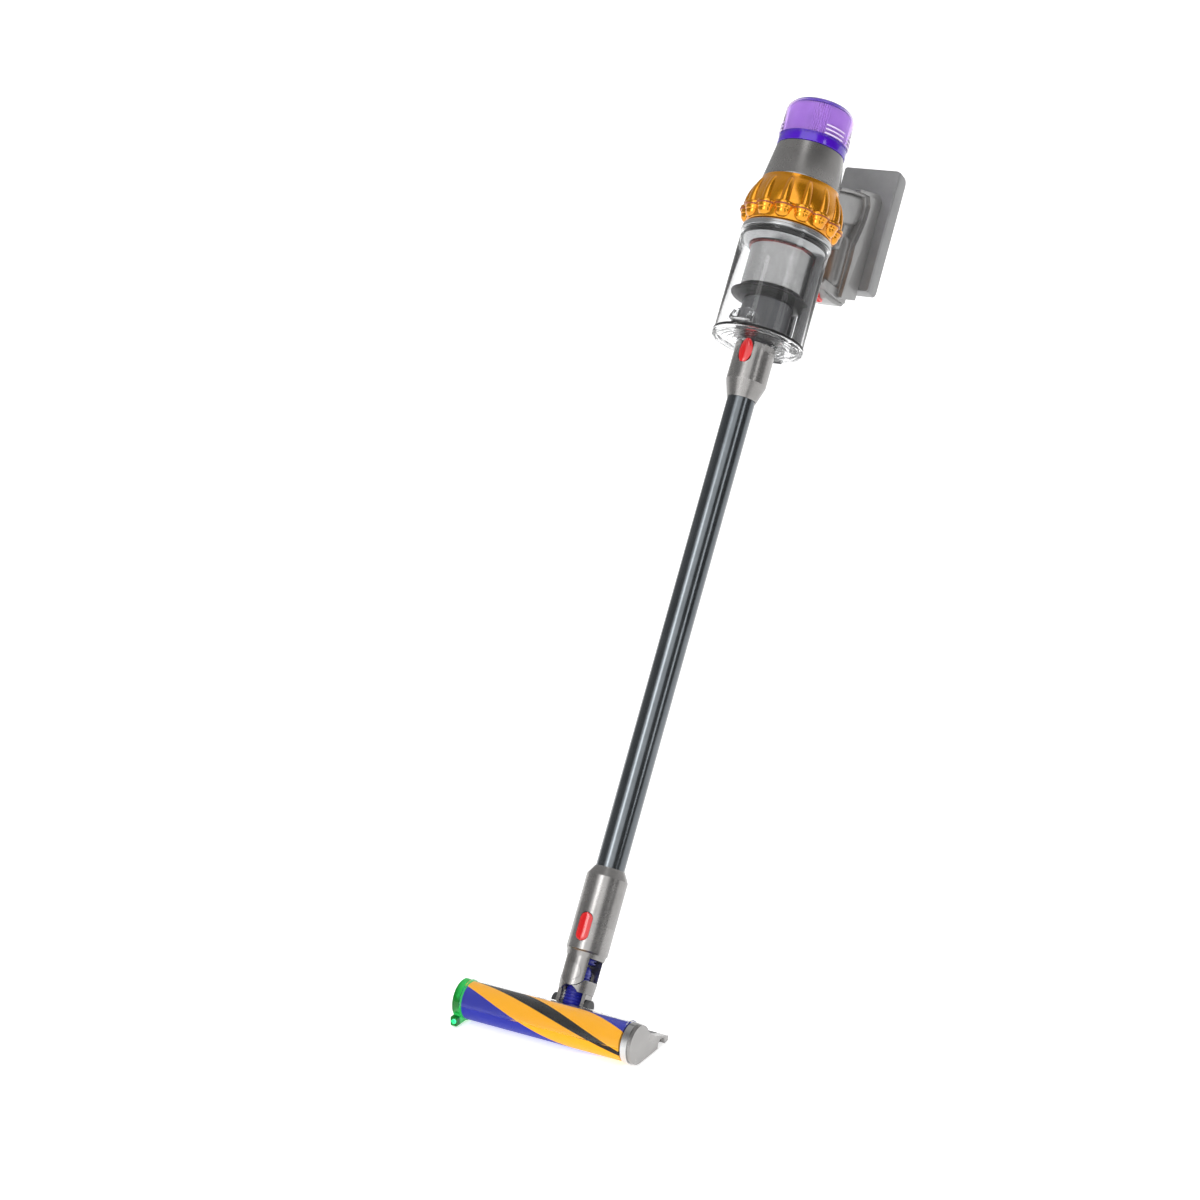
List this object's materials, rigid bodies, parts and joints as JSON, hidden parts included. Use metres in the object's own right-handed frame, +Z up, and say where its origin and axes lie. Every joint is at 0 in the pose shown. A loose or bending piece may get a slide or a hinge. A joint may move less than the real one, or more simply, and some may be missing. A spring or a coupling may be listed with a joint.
{
  "type": "cordless stick vacuum",
  "caption": "Upright battery vacuum with soft-roller floor head, jointed neck, straight wand, clear bin, cyclone pack, violet filter and rear pistol grip.",
  "frame": {"origin": "on the floor under the pitch pivot of the neck, on the glide pad", "axes": "+Z up, -Y forward towards the roller, +X towards the removable roller end cap"},
  "size_m": [0.25, 0.9133, 1.0651],
  "materials": {
    "nickel_housing": "satin metallic paint",
    "grey_plastic": "fine matt",
    "crown_grey": "satin",
    "battery_grey": "fine matt",
    "cyclone_gold": "glossy tinted",
    "red_plastic": "glossy",
    "clear_plastic": "clear",
    "filter_clear": "clear violet",
    "filter_violet": "deep violet",
    "filter_media": "pleated paper",
    "black_rubber": "soft",
    "steel_mesh": "microperforated",
    "steel_pin": "turned",
    "wand_graphite": "anodised",
    "motor_metal": "moulded with metal core",
    "display_glass": "polished",
    "button_dark": "satin",
    "board_green": "lacquered",
    "cell_wrap": "sleeved",
    "hose_blue": "flexible",
    "roller_pile": "soft woven pile in bands",
    "roller_core": "moulded",
    "ring_silver": "bright",
    "cap_green": "clear green",
    "laser_glass": "polished",
    "felt": "pressed felt",
    "wheel_rubber": "soft"
  },
  "bodies": {
    "main_unit": {"motor_housing": "nickel_housing", "motor_can": "motor_metal", "display_pod": "grey_plastic", "circuit_board": "board_green", "display_lens": "display_glass", "cyclone_pack": "cyclone_gold", "cyclone_flange": "cyclone_gold", "cyclone_cups": "cyclone_gold", "bin_crown": "crown_grey", "bin_top_seal": "black_rubber", "shroud_seal_ring": "red_plastic", "shroud_mesh": "steel_mesh", "shroud_skirt": "black_rubber", "inner_dust_tube": "grey_plastic", "shroud_frame": "grey_plastic", "inlet_duct": "grey_plastic", "bin_rail": "grey_plastic", "handle_half_left": "nickel_housing", "handle_half_right": "nickel_housing", "battery_housing": "nickel_housing"},
    "filter": {"filter_band": "filter_violet", "filter_shell": "filter_clear", "filter_media": "filter_media"},
    "impeller": {"impeller": "motor_metal"},
    "mode_button": {"mode_button": "button_dark"},
    "trigger": {"trigger": "red_plastic"},
    "bin_release_lever": {"bin_release_lever": "red_plastic"},
    "battery": {"battery_case": "battery_grey", "battery_cells": "cell_wrap"},
    "battery_release_button": {"battery_release_button": "red_plastic"},
    "bin": {"clear_bin": "clear_plastic", "base_hinge_pin": "steel_pin"},
    "bin_base": {"base_flap": "clear_plastic", "base_seal": "black_rubber", "inlet_nozzle": "grey_plastic", "base_catch": "grey_plastic"},
    "wand": {"wand_tube": "wand_graphite", "upper_collar": "nickel_housing", "lower_collar": "nickel_housing"},
    "wand_release_button": {"wand_release_button": "red_plastic"},
    "head_release_button": {"head_release_button": "red_plastic"},
    "neck_upper": {"neck_upper": "nickel_housing", "roll_pin_front": "nickel_housing", "roll_pin_rear": "nickel_housing", "neck_hose_upper": "hose_blue"},
    "neck_lower": {"neck_lower": "nickel_housing", "neck_hose_lower": "hose_blue"},
    "floor_head": {"head_chassis": "grey_plastic", "roller_cover": "clear_plastic", "left_end_cap": "cap_green", "laser_module": "button_dark", "laser_lens": "laser_glass", "glide_pad": "felt", "roller_motor": "motor_metal"},
    "end_cap": {"right_end_cap": "nickel_housing", "end_cap_ring": "ring_silver"},
    "roller": {"roller_sleeve": "roller_pile", "roller_core": "roller_core"},
    "rear_wheel_left": {"rear_wheel_left": "wheel_rubber"},
    "rear_wheel_right": {"rear_wheel_right": "wheel_rubber"}
  },
  "joints": [
    {"name": "filter_pull", "type": "slide", "parent": "main_unit", "child": "filter", "axis": [0, 0.5344, 0.8453], "range_m": [0, 0.06]},
    {"name": "impeller_spin", "type": "hinge", "parent": "main_unit", "child": "impeller", "pos_m": [0, 0.57176, 0.93193], "axis": [0, 0.5344, 0.8453], "continuous": true},
    {"name": "mode_press", "type": "slide", "parent": "main_unit", "child": "mode_button", "axis": [0, -0.5344, -0.8453], "range_m": [0, 0.0006], "stiffness_N_per_m": 800},
    {"name": "trigger_pull", "type": "slide", "parent": "main_unit", "child": "trigger", "axis": [0, 0.5344, 0.8453], "range_m": [0, 0.006], "stiffness_N_per_m": 400, "springref_m": -0.002},
    {"name": "bin_lever_push", "type": "slide", "parent": "main_unit", "child": "bin_release_lever", "axis": [0, -0.5344, -0.8453], "range_m": [0, 0.012], "stiffness_N_per_m": 120, "springref_m": -0.002},
    {"name": "battery_pull", "type": "slide", "parent": "main_unit", "child": "battery", "axis": [0, 0.8453, -0.5344], "range_m": [0, 0.05]},
    {"name": "battery_release_press", "type": "slide", "parent": "main_unit", "child": "battery_release_button", "axis": [0, 0.5344, 0.8453], "range_m": [0, 0.0025], "stiffness_N_per_m": 600, "springref_m": -0.0005},
    {"name": "bin_slide", "type": "slide", "parent": "main_unit", "child": "bin", "axis": [0, -0.5344, -0.8453], "range_m": [0, 0.05]},
    {"name": "base_open", "type": "hinge", "parent": "bin", "child": "bin_base", "pos_m": [0, 0.41747, 0.80764], "axis": [-1, 0, 0], "range_deg": [0, 95]},
    {"name": "wand_release", "type": "slide", "parent": "bin_base", "child": "wand", "axis": [0, -0.5344, -0.8453], "range_m": [0, 0.05]},
    {"name": "wand_button_press", "type": "slide", "parent": "wand", "child": "wand_release_button", "axis": [0, 0.8453, -0.5344], "range_m": [0, 0.002], "stiffness_N_per_m": 600, "springref_m": -0.0005},
    {"name": "head_button_press", "type": "slide", "parent": "wand", "child": "head_release_button", "axis": [0, 0.8453, -0.5344], "range_m": [0, 0.002], "stiffness_N_per_m": 600, "springref_m": -0.0005},
    {"name": "head_release", "type": "slide", "parent": "wand", "child": "neck_upper", "axis": [0, -0.5344, -0.8453], "range_m": [0, 0.05]},
    {"name": "neck_roll", "type": "hinge", "parent": "neck_upper", "child": "neck_lower", "pos_m": [0, 0.02031, 0.05962], "axis": [0, 0.8453, -0.5344], "range_deg": [-40, 40]},
    {"name": "neck_pitch", "type": "hinge", "parent": "neck_lower", "child": "floor_head", "pos_m": [0, 0, 0.0275], "axis": [1, 0, 0], "range_deg": [-32, 52]},
    {"name": "roller_pull_out", "type": "slide", "parent": "floor_head", "child": "end_cap", "axis": [1, 0, 0], "range_m": [0, 0.235]},
    {"name": "roller_spin", "type": "hinge", "parent": "end_cap", "child": "roller", "pos_m": [0, -0.053, 0.027], "axis": [1, 0, 0], "continuous": true},
    {"name": "wheel_left_spin", "type": "hinge", "parent": "floor_head", "child": "rear_wheel_left", "pos_m": [-0.07, 0.007, 0.008], "axis": [1, 0, 0], "continuous": true},
    {"name": "wheel_right_spin", "type": "hinge", "parent": "floor_head", "child": "rear_wheel_right", "pos_m": [0.07, 0.007, 0.008], "axis": [1, 0, 0], "continuous": true}
  ]
}
